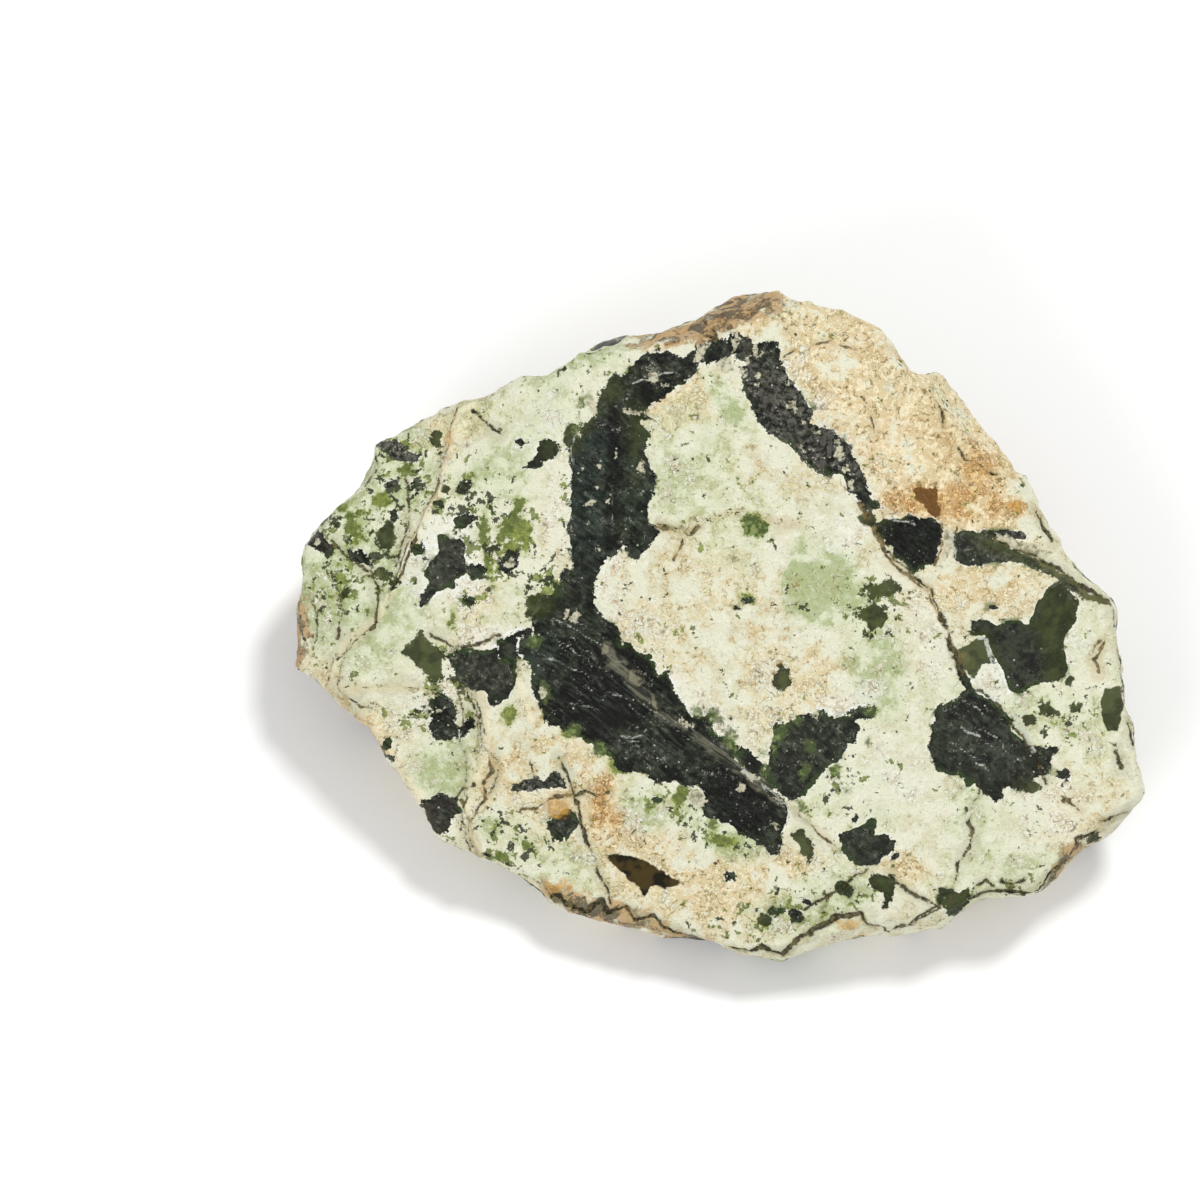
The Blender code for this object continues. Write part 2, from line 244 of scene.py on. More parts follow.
OLIVE_SPOTS = [
    (551, 447, 10, 5, 45), (636, 448, 3, 24), (882, 589, 20, 9, 15), (843, 888, 8, 5, -20),
    (873, 616, 12, 14, 30), (1070, 682, 4, 6), (782, 680, 8, 12), (436, 440, 5, 9),
    (471, 496, 8, 5, 30), (445, 489, 5, 5), (385, 535, 12, 8), (762, 920, 10, 6, -20),
    (1095, 841, 10, 5), (848, 770, 4, 5), (1033, 787, 8, 6), (538, 606, 12, 12), (388, 537, 9, 12),
    (383, 574, 12, 6, -30), (346, 592, 10, 4, 40), (866, 517, 12, 6), (610, 388, 14, 7, 45),
    (573, 433, 9, 14, -30),
]
GREEN_SPOTS = [
    (754, 526, 11, 11), (351, 528, 9, 8, 20), (489, 569, 5, 13, 10), (745, 595, 3, 1.5, -20),
    (452, 613, 4, 6), (449, 627, 3, 5), (483, 619, 3, 3), (508, 713, 8, 11, 20), (570, 731, 9, 8),
    (618, 766, 14, 7, -35), (680, 797, 8, 8), (870, 711, 4, 3), (500, 857, 7, 5), (525, 845, 6, 5),
    (812, 744, 4, 7), (805, 774, 6, 6), (720, 838, 15, 6, -10), (341, 508, 7, 5, 40),
    (405, 468, 10, 6, 20), (380, 500, 10, 8), (472, 722, 4, 12, 10), (629, 371, 8, 6, 40),
    (835, 770, 6, 4), (342, 504, 6, 4, 20), (352, 522, 5, 12, 20), (361, 511, 5, 5),
    (358, 538, 6, 4), (395, 455, 9, 6), (518, 530, 15, 12), (512, 547, 8, 9),
]
JADE_SPOTS = [
    (754, 527, 10, 10), (694, 710, 8, 5, -30), (714, 717, 7, 4, -30), (731, 741, 4, 10, 10),
    (574, 731, 6, 7), (600, 748, 12, 5, -40), (545, 690, 5, 8, 10), (536, 640, 8, 4, 40),
    (585, 400, 8, 6, 40), (578, 425, 5, 9), (812, 744, 4, 7), (805, 773, 4, 6, -20),
    (781, 734, 13, 5, 45), (774, 748, 3, 6), (836, 771, 6, 5), (848, 788, 5, 4), (801, 805, 4, 5),
    (870, 711, 4, 4), (764, 765, 3, 9), (798, 720, 4, 4), (866, 741, 2, 3),
]
PALE_SPOTS = [
    (597, 487, 3, 3, 30), (600, 468, 2, 2), (590, 503, 4, 1.5, 20), (607, 501, 3, 1.5, 30),
    (598, 545, 1.5, 3), (616, 457, 1.5, 4), (583, 470, 2, 2), (578, 433, 2, 3), (588, 522, 3, 1.5),
    (592, 405, 5, 11, 20), (629, 412, 6, 3), (610, 413, 3, 2), (640, 468, 3, 5), (575, 617, 5, 5),
    (566, 613, 4, 3), (543, 692, 5, 6), (740, 789, 5, 5), (777, 826, 3, 3), (671, 384, 9, 4, 5),
    (652, 378, 5, 3, 10), (778, 412, 4, 5), (793, 407, 4, 5, 30), (818, 421, 3, 2),
    (766, 394, 3, 2, 20), (771, 424, 4, 2, -30), (758, 376, 2, 4), (800, 446, 5, 2, -30),
    (826, 458, 4, 2), (846, 468, 3, 3), (852, 484, 3, 4), (860, 497, 2, 4, -50), (793, 372, 2, 3),
    (768, 340, 4, 2), (820, 433, 4, 3), (834, 442, 4, 3), (839, 454, 3, 4), (786, 383, 2, 3),
    (803, 421, 2, 2), (814, 715, 4, 4), (511, 563, 4, 5), (440, 711, 6, 4, 30), (318, 543, 3, 3),
    (464, 445, 11, 5), (697, 798, 9, 9), (948, 544, 21, 5, 82), (1028, 549, 25, 5, -20),
    (735, 345, 5, 14), (747, 362, 4, 9, -20), (757, 350, 3, 8, 10), (726, 367, 9, 6, -20),
    (741, 372, 3, 5), (701, 352, 3, 9, -30), (686, 725, 8, 4, -35), (750, 775, 8, 4, -35),
    (777, 798, 10, 3, -38),
]
RUST_SPOTS = [
    (560, 807, 12, 9, -40), (361, 561, 3, 3), (884, 599, 3, 3), (697, 795, 2, 3),
    (451, 441, 4, 9, 10), (1018, 504, 9, 5), (850, 922, 17, 6, 10), (559, 888, 15, 9, 20),
]

# Lines: width in mm, then the points. A width below 0 makes a line fainter
DARK_CRACKS = [
    (0.16, (889, 551), (912, 574), (931, 590), (941, 614), (952, 640), (964, 668)),
    (1.0, (950, 640), (956, 656), (963, 674)),
    (0.14, (978, 690), (1000, 708), (1022, 738), (1036, 756), (1047, 785)),
    (0.14, (985, 535), (1010, 545), (1035, 556), (1056, 566), (1090, 592), (1116, 600)),
    (0.2, (559, 759), (572, 788), (578, 810), (589, 849), (606, 890), (611, 903)),
    (0.0, (980, 782), (978, 797), (972, 803), (969, 822), (974, 830), (970, 848), (957, 862),
     (957, 874), (951, 901)),
    (0.1, (658, 525), (674, 528), (690, 532)),
    (0.2, (418, 533), (406, 566), (397, 586)),
    (0.0, (376, 625), (352, 645), (337, 660)),
    (-0.1, (333, 659), (327, 690), (352, 712), (373, 724)),
    (-0.1, (350, 640), (341, 665), (338, 684), (347, 699), (370, 710)),
    (-0.1, (299, 674), (317, 690), (339, 705), (358, 721)),
    (-0.1, (454, 680), (464, 718), (460, 743), (467, 771), (464, 796)),
    (-0.1, (479, 715), (482, 743), (498, 761), (495, 786), (479, 808), (467, 827), (476, 855)),
    (0.12, (310, 600), (318, 625), (312, 650)),
    (-0.3, (342, 686), (372, 685), (404, 685), (430, 689)),
    (-0.1, (462, 655), (466, 690), (477, 715), (479, 748)),
    (-0.1, (470, 690), (480, 712), (486, 736)),
    (0.12, (330, 572), (338, 590), (342, 612), (336, 640)),
    (0.12, (406, 480), (410, 510), (402, 540), (394, 566)),
    (0.0, (466, 796), (462, 820), (470, 850)),
    (0.16, (455, 800), (462, 790), (476, 784)),
    (0.12, (331, 541), (349, 558), (371, 573), (378, 592), (376, 623)),
    (0.2, (472, 411), (482, 419), (499, 433)),
    (0.2, (432, 636), (450, 645), (465, 647), (480, 643), (500, 636)),
    (0.26, (575, 795), (584, 791), (594, 795), (608, 792)),
    (0.24, (889, 875), (902, 887), (931, 904), (940, 909)),
    (0.2, (940, 909), (925, 919), (908, 928), (890, 936)),
    (0.04, (931, 390), (940, 400), (945, 428)),
    (0.04, (959, 447), (966, 460), (999, 474)),
    (0.24, (1116, 752), (1122, 769)),
    (0.3, (977, 885), (985, 880), (993, 886)),
    (0.3, (1002, 881), (1012, 885), (1025, 880)),
    (0.8, (548, 900), (557, 894), (567, 903), (586, 913), (601, 901), (609, 912)),
    (0.5, (609, 912), (625, 907), (637, 921), (654, 916), (664, 929), (705, 946)),
    (0.6, (705, 946), (749, 953), (762, 947)),
    (0.9, (762, 947), (782, 957), (802, 938), (837, 917)),
    (0.5, (837, 917), (861, 914), (867, 926), (890, 936)),
    (0.24, (890, 936), (909, 926), (940, 904)),
    (0.9, (971, 900), (988, 893), (1013, 893), (1035, 895)),
    (0.6, (1035, 895), (1051, 876), (1072, 863)),
    (0.3, (1072, 863), (1078, 838), (1100, 834)),
    (0.4, (1100, 822), (1122, 815), (1131, 812)),
    (0.3, (867, 871), (855, 875), (842, 888), (826, 898), (805, 909)),
    (0.5, (1079, 585), (1101, 594), (1115, 601), (1117, 626)),
    (0.5, (1119, 648), (1124, 664), (1128, 686)),
    (0.35, (1129, 722), (1133, 735), (1136, 744)),
    (0.5, (1037, 510), (1045, 526), (1053, 541)),
]
RUST_CRACKS = [
    (0.9, (1106, 636), (1101, 648), (1094, 660), (1098, 670)),
    (0.7, (1107, 640), (1098, 640), (1092, 654)),
    (0.5, (887, 554), (908, 576), (926, 590)),
    (0.25, (926, 590), (938, 612), (948, 634), (958, 656)),
    (0.05, (790, 806), (815, 830), (840, 851)),
    (0.6, (519, 809), (538, 808), (556, 797), (573, 794)),
    (0.6, (488, 752), (492, 770), (484, 785), (487, 800), (475, 812)),
    (0.9, (862, 505), (870, 520), (884, 548)),
    (0.4, (456, 408), (450, 440), (440, 470), (437, 500)),
    (0.5, (462, 801), (470, 825), (478, 857)),
    (0.0, (1054, 791), (1066, 797), (1074, 805), (1082, 813)),
    (0.25, (1064, 800), (1076, 796)),
    (0.8, (655, 527), (672, 530), (690, 534), (699, 526)),
    (0.6, (680, 535), (682, 546), (675, 558)),
    (0.5, (703, 318), (712, 330), (716, 345)),
    (0.3, (449, 446), (434, 492), (414, 530), (401, 566), (390, 590)),
    (0.2, (931, 390), (941, 402), (946, 428), (952, 452)),
    (0.2, (940, 436), (955, 458), (976, 470), (999, 474)),
    (0.05, (890, 345), (905, 353), (926, 350)),
    (0.0, (782, 358), (802, 346), (832, 341), (862, 352)),
    (0.02, (862, 396), (872, 412), (876, 436)),
    (0.02, (713, 519), (732, 514), (760, 513), (776, 524), (800, 522)),
    (0.2, (941, 522), (942, 545), (936, 565)),
    (0.2, (957, 527), (955, 545), (960, 562)),
]
# Pale lines: partly pale veinlets, partly painted highlights, the streaks of sheen across the
# glossy dark of the lens
PALE_LINES_AND_HIGHLIGHTS = [
    (0.14, (612, 490), (613, 515), (611, 535)),
    (0.2, (571, 560), (570, 530), (569, 500), (570, 470), (572, 445), (580, 425), (592, 408)),
    (0.2, (552, 618), (570, 626), (588, 638), (607, 648)),
    (0.2, (559, 640), (576, 651), (594, 667)),
    (0.16, (566, 634), (580, 645), (601, 665), (612, 677)),
    (0.2, (545, 660), (556, 660), (581, 674)),
    (0.2, (569, 676), (591, 689)),
    (0.18, (569, 702), (600, 709)),
    (0.14, (574, 622), (592, 630), (604, 640)),
    (0.12, (548, 632), (560, 645), (571, 655)),
    (0.12, (584, 672), (606, 690), (622, 699)),
    (0.16, (600, 745), (622, 741), (640, 743)),
    (0.3, (622, 735), (634, 738), (645, 735)),
    (1.0, (1014, 716), (1022, 730), (1033, 750)),
    (0.4, (950, 528), (955, 560)),
    (0.4, (890, 520), (905, 522), (917, 525)),
    (0.3, (987, 636), (995, 663), (1004, 688)),
    (0.7, (977, 640), (984, 638), (993, 662)),
    (0.4, (762, 785), (774, 793), (786, 805)),
    (0.26, (762, 785), (768, 797), (784, 807)),
    (0.5, (744, 770), (757, 780)),
    (0.2, (640, 700), (668, 722), (690, 740)),
    (0.18, (614, 690), (642, 716), (664, 730)),
    (0.3, (960, 726), (978, 736), (996, 750)),
    (0.22, (952, 742), (976, 758)),
    (0.26, (963, 700), (979, 708), (986, 716)),
    (0.26, (984, 728), (998, 740), (1006, 752)),
    (0.3, (978, 764), (990, 771)),
    (0.3, (672, 372), (650, 378), (632, 384)),
]
RIDGE_LINES = [
    (1.9, (606, 648), (622, 672), (642, 696), (674, 722), (711, 747), (743, 771), (778, 799)),
]
# Creases: raised ridges with a pale band along them, partly their colour and partly a painted
# highlight on the crest
CREASE = [
    (0.0, (471, 402), (460, 412), (441, 486), (421, 525), (409, 560), (399, 583), (376, 622),
     (344, 647), (331, 680)),
    (0.0, (505, 640), (514, 664), (525, 700), (533, 720)),
    (0.0, (486, 648), (479, 680), (486, 720), (489, 752), (471, 790), (467, 820), (478, 857)),
    (0.0, (342, 689), (372, 688), (404, 688), (432, 692)),
    (0.0, (360, 716), (385, 738), (404, 775), (420, 800)),
]

# Soft stains: centre, half length, half width, strength and the turn of the long side
STAINS = {
    "mint": [
        (822, 588, 34, 44, 1.5, -10), (850, 602, 30, 26, 1.2), (876, 676, 34, 62, 0.9, 10),
        (796, 570, 12, 40, 1.5, -10), (765, 412, 30, 44, 0.5, -45), (726, 402, 38, 12, 1.1, -56),
        # The stain at (345, 560) gives the left flank its mint tone and also darkens it as painted
        # shade of a face turned from the light
        (345, 560, 80, 130, 0.95, 30), (395, 470, 50, 60, 0.8), (520, 400, 80, 60, 0.6, 20),
        (444, 772, 32, 44, 0.95, -25), (722, 826, 50, 30, 1.25, -25), (820, 903, 80, 30, 0.75, 15),
        (980, 830, 40, 70, 0.65), (1000, 720, 110, 60, 0.5), (600, 350, 50, 24, 0.9, 20),
        (500, 470, 70, 40, 0.85, 60), (690, 470, 60, 70, 0.6), (1090, 690, 50, 100, 0.45),
        (850, 800, 80, 60, 0.45, -40), (491, 828, 12, 14, 1.0), (1030, 880, 90, 30, 0.6),
        (545, 860, 70, 30, 0.55, -20), (645, 805, 34, 24, 0.8, -40), (740, 520, 60, 50, 0.5),
        (530, 610, 40, 50, 0.5),
    ],
    "tan": [
        (870, 400, 130, 70, 1.1, -50), (940, 460, 110, 70, 1.3, -50), (990, 440, 70, 34, 1.0, -52),
        (680, 400, 44, 34, 0.8, 30), (810, 690, 70, 60, 0.5, -40), (705, 560, 60, 60, 0.35),
        (602, 834, 26, 22, 1.0), (720, 640, 70, 80, 0.35, -40), (640, 600, 40, 60, 0.35, -40),
        (585, 800, 44, 70, 0.7, -40), (690, 880, 120, 44, 0.85, -18), (460, 420, 60, 24, 0.7, 30),
        (340, 700, 60, 24, 0.7, -45), (500, 770, 44, 34, 0.65), (900, 866, 28, 16, 0.9, -20),
        (985, 590, 66, 28, 0.75), (1090, 800, 50, 60, 0.35), (470, 610, 40, 34, 0.4),
        (745, 310, 56, 30, 0.9, 20), (785, 868, 40, 14, 0.85, 15), (730, 915, 34, 14, 0.8, 5),
        (560, 745, 44, 24, 0.6, -40), (760, 480, 60, 60, 0.3),
    ],
    "orange": [
        (955, 502, 84, 24, 0.85, -5), (985, 470, 40, 30, 0.7, -50), (930, 440, 50, 30, 0.6, -50),
        (670, 335, 50, 14, 0.8, 14), (662, 344, 42, 10, 1.0, 12), (292, 628, 9, 44, 1.0),
        (365, 725, 50, 12, 0.7, -50), (606, 810, 18, 42, 0.85), (640, 845, 40, 14, 0.35, -20),
        (730, 310, 34, 16, 0.8, 30), (836, 640, 20, 14, 0.4), (875, 345, 44, 18, 0.5, -35),
        (620, 575, 18, 18, 0.4), (690, 410, 30, 20, 0.4), (760, 630, 40, 30, 0.35),
        (900, 866, 26, 14, 0.6, -20),
    ],
    "white": [
        (445, 560, 44, 50, 1.0, 20), (992, 675, 26, 34, 1.0, -30), (1005, 602, 44, 14, 0.3),
        (612, 590, 16, 40, 0.8), (850, 700, 40, 16, 0.8, 20), (700, 705, 60, 16, 0.7, -40),
        (826, 408, 92, 20, 0.6, -48), (852, 520, 20, 46, 0.8, -25), (880, 770, 60, 50, 0.6),
        (430, 700, 40, 34, 0.55), (930, 640, 20, 60, 0.5, 20), (1085, 650, 34, 40, 0.4),
        (560, 500, 20, 60, 0.5), (500, 640, 40, 20, 0.8), (540, 430, 40, 40, 0.5),
        (1040, 800, 60, 40, 0.5),
    ],
    "speckled": [
        # The specks thickened over the left flank, at (360, 535) and (332, 596), are partly real
        # and partly painted shade that darkens the flank
        (360, 535, 60, 70, 0.6, 25), (390, 470, 40, 40, 0.85), (490, 540, 44, 56, 0.7),
        (332, 596, 26, 26, 0.9), (455, 500, 40, 26, 0.8), (550, 600, 30, 40, 1.0),
        (600, 362, 50, 30, 0.3, 20), (700, 815, 60, 30, 0.6, -25), (830, 780, 30, 40, 0.5, -30),
        (880, 610, 34, 34, 0.8), (500, 840, 60, 34, 0.6, -10), (440, 700, 60, 30, 0.8, 60),
        (1060, 710, 60, 30, 0.35), (800, 905, 90, 26, 0.45, 15), (640, 700, 120, 24, 0.5, -45),
        (300, 640, 14, 40, 0.3), (1040, 890, 60, 14, 0.6), (570, 520, 16, 70, 0.5),
    ],
    "polished": [
        (1036, 640, 64, 66, 1.0), (985, 550, 44, 26, 0.7), (1115, 708, 24, 34, 1.0),
        (985, 735, 64, 60, 0.6, -40), (447, 560, 24, 40, 0.8), (800, 750, 50, 50, 0.4),
        (490, 680, 40, 34, 0.5), (865, 845, 40, 30, 0.5),
    ],
    "teal": [
        (590, 490, 24, 90, 1.0), (638, 486, 14, 50, 1.0), (540, 650, 26, 34, 1.0, 30),
        (1000, 740, 40, 50, 0.5), (460, 560, 40, 40, 0.4), (690, 800, 40, 30, 0.5, 40),
        (1020, 640, 30, 30, 0.2),
    ],
    "umber": [
        (445, 560, 26, 34, 0.7), (440, 815, 26, 26, 1.0), (760, 385, 24, 34, 0.9, 30),
        (485, 680, 26, 30, 0.6), (735, 345, 30, 16, 0.8), (660, 370, 30, 14, 0.6, 20),
        (395, 450, 24, 14, 0.7), (325, 540, 16, 16, 0.7), (1035, 775, 20, 12, 0.6),
    ],
    "jet": [
        (600, 690, 46, 60, 1.0, -40), (905, 540, 40, 30, 0.9), (680, 690, 14, 80, 0.9, 42),
        (740, 800, 44, 30, 1.0, -40), (614, 450, 5, 52, 1.4), (620, 770, 60, 14, 0.5, -20),
        (755, 400, 14, 30, 0.6, 40), (825, 460, 34, 12, 0.7, -35), (712, 350, 20, 12, 0.6),
    ],
    "ashen": [
        (650, 372, 46, 18, 1.0, 20), (600, 395, 24, 24, 1.0), (800, 420, 110, 40, 1.8, -45),
        (1035, 558, 90, 30, 2.0, -28), (395, 452, 60, 40, 1.9, -20), (640, 745, 60, 24, 0.7, -30),
        (478, 680, 40, 26, 0.9), (720, 770, 40, 20, 0.8, -40), (980, 740, 44, 30, 0.6, -40),
        (750, 806, 40, 14, 0.8, -40), (690, 770, 30, 16, 0.5, -30), (860, 490, 26, 14, 0.9, -50),
        (448, 560, 30, 40, 0.6), (635, 500, 14, 40, 0.5), (536, 784, 44, 20, 1.4, 10),
        (400, 560, 20, 40, 0.5), (820, 740, 40, 30, 0.6),
    ],
}

# What the mesh holds: outlines and spots as mm inside them, lines as mm from them
AREAS = {
    "dark": (DARK, DARK_SPOTS),
    "olive": (OLIVE, OLIVE_SPOTS),
    "green": (GREEN, GREEN_SPOTS),
    "jade": ([], JADE_SPOTS),
    "brown": (BROWN, []),
    "amber": ([AMBER], []),
    "pale": ([], PALE_SPOTS),
    "rust_spot": ([], RUST_SPOTS),
    "lens": ([LENS_REGION], []),
    "crust": (CRUST, []),
}
LINES = {"crack": DARK_CRACKS, "rust_crack": RUST_CRACKS, "pale_line_and_highlight": PALE_LINES_AND_HIGHLIGHTS}


# -------------------- the picture plane

RIGHT = Vector((1, 0, 0))
UPWARDS = Vector((0, math.cos(FACE_LEAN), math.sin(FACE_LEAN)))
OUTWARDS = Vector((0, -math.sin(FACE_LEAN), math.cos(FACE_LEAN)))


def picture_point(x, y, level=0.0):
    """The point of the row frame that lies in the picture plane under a pixel."""
    across = (x - FACE_PIXEL[0]) * PIXEL
    up = (FACE_PIXEL[1] - y) * PIXEL
    return FACE_POINT + RIGHT * across + UPWARDS * up + OUTWARDS * level


MIDDLE = PICTURE_SIZE / 2
CAMERA_DISTANCE = PICTURE_SIZE * PIXEL * LENS / SENSOR
CAMERA_POINT = picture_point(MIDDLE, MIDDLE, SCALE_LEVEL + CAMERA_DISTANCE)


def facing(normals):
    """1 where the surface faces the camera, 0 where it is seen edge-on."""
    return normals @ np.array(OUTWARDS)


def pixels_of(points):
    """The pixel under which the camera sees each point, as columns x and y."""
    offset = points - np.array(CAMERA_POINT)
    away = -(offset @ np.array(OUTWARDS))
    x = MIDDLE + (offset @ np.array(RIGHT)) * CAMERA_DISTANCE / away / PIXEL
    y = MIDDLE - (offset @ np.array(UPWARDS)) * CAMERA_DISTANCE / away / PIXEL
    return np.stack([x, y], axis=1)


def ramp(low, high, values):
    """0 below low, 1 above high, and a smooth step between."""
    t = np.clip((values - low) / (high - low), 0, 1)
    return t * t * (3 - 2 * t)


# -------------------- distances to the markings

TO_MM = PIXEL / MM


def within_reach(distances):
    return np.clip(distances, -FIELD_REACH, FIELD_REACH)


def stretch_distance(pixels, start, end):
    along = np.subtract(end, start).astype(float)
    offset = pixels - start
    share = np.clip(offset @ along / (along @ along), 0, 1)
    return np.linalg.norm(offset - share[:, None] * along, axis=1)


def near(pixels, points):
    """Which pixels lie in the box of some points, widened by FIELD_REACH."""
    low = np.min(points, axis=0) - FIELD_REACH / TO_MM
    high = np.max(points, axis=0) + FIELD_REACH / TO_MM
    return ((pixels > low) & (pixels < high)).all(axis=1)


def inside_outline(pixels, outline):
    """Distance inside an outline in mm, negative outside it."""
    found = np.full(len(pixels), -FIELD_REACH)
    chosen = near(pixels, outline)
    place = pixels[chosen]
    distance = np.full(len(place), np.inf)
    inside = np.zeros(len(place), bool)
    for (x0, y0), (x1, y1) in zip(outline, outline[1:] + outline[:1]):
        distance = np.minimum(distance, stretch_distance(place, (x0, y0), (x1, y1)))
        if y0 != y1:
            crosses = (place[:, 1] < y0) != (place[:, 1] < y1)
            inside ^= crosses & (place[:, 0] < x0 + (place[:, 1] - y0) * (x1 - x0) / (y1 - y0))
    found[chosen] = within_reach(np.where(inside, distance, -distance) * TO_MM)
    return found


def spot_share(pixels, x, y, half_length, half_width, angle=0):
    """1 in the middle of a spot, 0 on its edge and less outside."""
    turn = math.radians(angle)
    offset = pixels - (x, y)
    along = offset[:, 0] * math.cos(turn) - offset[:, 1] * math.sin(turn)
    across = offset[:, 0] * math.sin(turn) + offset[:, 1] * math.cos(turn)
    return 1 - np.hypot(along / half_length, across / half_width)


def inside_spot(pixels, spot):
    """Distance inside a spot in mm, negative outside it."""
    return within_reach(spot_share(pixels, *spot) * min(spot[2:4]) * TO_MM)


def union(pixels, outlines, spots=()):
    fields = [inside_outline(pixels, outline) for outline in outlines]
    fields += [inside_spot(pixels, spot) for spot in spots]
    return np.max(fields, axis=0)


def line_distance(pixels, lines):
    """Distance in mm outside the edge of the nearest line, negative within its width."""
    found = np.full(len(pixels), FIELD_REACH)
    for width, *points in lines:
        chosen = near(pixels, points)
        for start, end in zip(points, points[1:]):
            distance = stretch_distance(pixels[chosen], start, end) * TO_MM - width / 2
            found[chosen] = np.minimum(found[chosen], distance)
    return found


def stain(pixels, patches):
    """Soft patches of colour, strongest in their middles."""
    found = np.zeros(len(pixels))
    for x, y, half_length, half_width, strength, *angle in patches:
        share = spot_share(pixels, x, y, half_length, half_width, *angle)
        found = np.maximum(found, ramp(-0.45, 0.55, share) * strength)
    return found


# -------------------- the fine mesh


def stone_object():
    """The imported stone, remeshed with even quads and smoothed over its facets."""
    mesh = bmesh.new()
    mesh.from_mesh(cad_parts[NODE].data)
    bmesh.ops.remove_doubles(mesh, verts=mesh.verts, dist=MM / 1000)
    data = bpy.data.meshes.new("stone")
    mesh.to_mesh(data)
    mesh.free()
    stone = bpy.data.objects.new("stone", data)
    bpy.context.scene.collection.objects.link(stone)
    remesh = stone.modifiers.new("grain", "REMESH")
    remesh.mode = "VOXEL"
    remesh.voxel_size = GRAIN
    soften(stone)
    return stone


def soften(stone):
    """Smooths the mesh a little, after any modifier that the stone still has."""
    smooth = stone.modifiers.new("soften", "SMOOTH")
    smooth.factor = 0.5
    smooth.iterations = 2
    bpy.context.view_layer.update()
    evaluated = stone.evaluated_get(bpy.context.evaluated_depsgraph_get())
    shaped = bpy.data.meshes.new_from_object(evaluated)
    stone.modifiers.clear()
    stone.data = shaped


def vectors_of(collection, attribute):
    """One vector attribute of each vertex, as rows."""
    values = np.empty(len(collection) * 3, np.float32)
    collection.foreach_get(attribute, values)
    return values.reshape(-1, 3).astype(float)


def points_of(stone):
    return vectors_of(stone.data.vertices, "co")


def normals_of(stone):
    return vectors_of(stone.data.vertex_normals, "vector")


def refine(stone, wanted):
    """Splits every edge between two wanted vertices in half."""
    mesh = bmesh.new()
    mesh.from_mesh(stone.data)
    mesh.verts.ensure_lookup_table()
    edges = [e for e in mesh.edges if wanted[e.verts[0].index] and wanted[e.verts[1].index]]
    bmesh.ops.subdivide_edges(mesh, edges=edges, cuts=1, use_grid_fill=True)
    mesh.to_mesh(stone.data)
    mesh.free()


def flatten_base(stone):
    """One face for the level base, which nothing shows, so that its fineness goes elsewhere."""
    mesh = bmesh.new()
    mesh.from_mesh(stone.data)
    base = [f for f in mesh.faces if all(v.co.z < GRAIN / 4 for v in f.verts)]
    bmesh.ops.dissolve_faces(mesh, faces=base, use_verts=False)
    mesh.to_mesh(stone.data)
    mesh.free()


def make_fine(stone):
    flatten_base(stone)
    refine(stone, facing(normals_of(stone)) > SPLIT_FACING)
    cracks = line_distance(pixels_of(points_of(stone)), DARK_CRACKS + RUST_CRACKS)
    refine(stone, (facing(normals_of(stone)) > SPLIT_CRACKED) & (cracks < CRACK_REACH))
    soften(stone)


# -------------------- the markings on the mesh


def noise_at(points, size, octaves=1, seed=0.0):
    """Blender's noise at each point, about -1 to 1, for lumps of that size in metres."""
    shift = Vector((seed * 3.7, seed * 1.9, seed * 5.3))
    if octaves == 1:
        return np.array([noise.noise(Vector(p) / size + shift) for p in points])
    return np.array([noise.fractal(Vector(p) / size + shift, 0.8, 2.1, octaves) for p in points])


def wander(points, size, reach, seed):
    """How far each pixel strays, so that the drawn lines break up like the real ones."""
    across = noise_at(points, size, 3, seed)
    down = noise_at(points, size, 3, seed + 1)
    return np.stack([across, down], axis=1) * reach / PIXEL


def markings(points, normals):
    """Each marking as one number a vertex: mm inside an edge, mm from a line, or a strength."""
    pixels = pixels_of(points)
    lines = pixels + wander(points, 3.0 * MM, 0.5 * MM, seed=11)
    pixels = pixels + wander(points, 2.2 * MM, 0.35 * MM, seed=14)
    towards = facing(normals)
    fields = {name: union(pixels, *areas) for name, areas in AREAS.items()}
    fields |= {name: stain(pixels, patches) for name, patches in STAINS.items()}
    fields["ridge"] = -line_distance(pixels, RIDGE_LINES)
    fields["crease_and_highlight"] = line_distance(pixels, CREASE)
    # A line keeps its width where the surface turns away from the camera
    thin = np.clip(towards, 0.3, 1)
    for name, drawn in LINES.items():
        fields[name] = (line_distance(lines, drawn) + LINE_HALF) / thin - LINE_HALF
    hidden = hidden_markings(points)
    seen = ramp(0.02, 0.3, towards)
    over_the_edge = ramp(-0.2, 0.05, towards)
    for name, values in fields.items():
        share = over_the_edge if name == "crust" else seen
        absent = FIELD_REACH if name in ("crease_and_highlight", "pale_line_and_highlight") else -FIELD_REACH
        fields[name] = values * share + hidden.get(name, absent) * (1 - share)
    fields["wide"] = noise_at(points, 9 * MM, 3, seed=21)
    fields["middle"] = noise_at(points, 3.2 * MM, 3, seed=22)
    return fields


def patches(points, size, share, seed):
    """mm inside angular patches, negative outside: a share of the cells that far apart."""
    shift = Vector((seed * 2.9, seed * 1.3, seed * 4.7))
    found = []
    for point in points:
        distances, middles = noise.voronoi(Vector(point) / size + shift)
        chosen = [abs(noise.cell(middle * 9.1)) < share for middle in middles]
        inner = min((d for d, c in zip(distances, chosen) if c), default=FIELD_REACH)
        outer = min((d for d, c in zip(distances, chosen) if not c), default=FIELD_REACH)
        found.append((outer - inner) / 2)
    return within_reach(np.array(found) * size / MM)


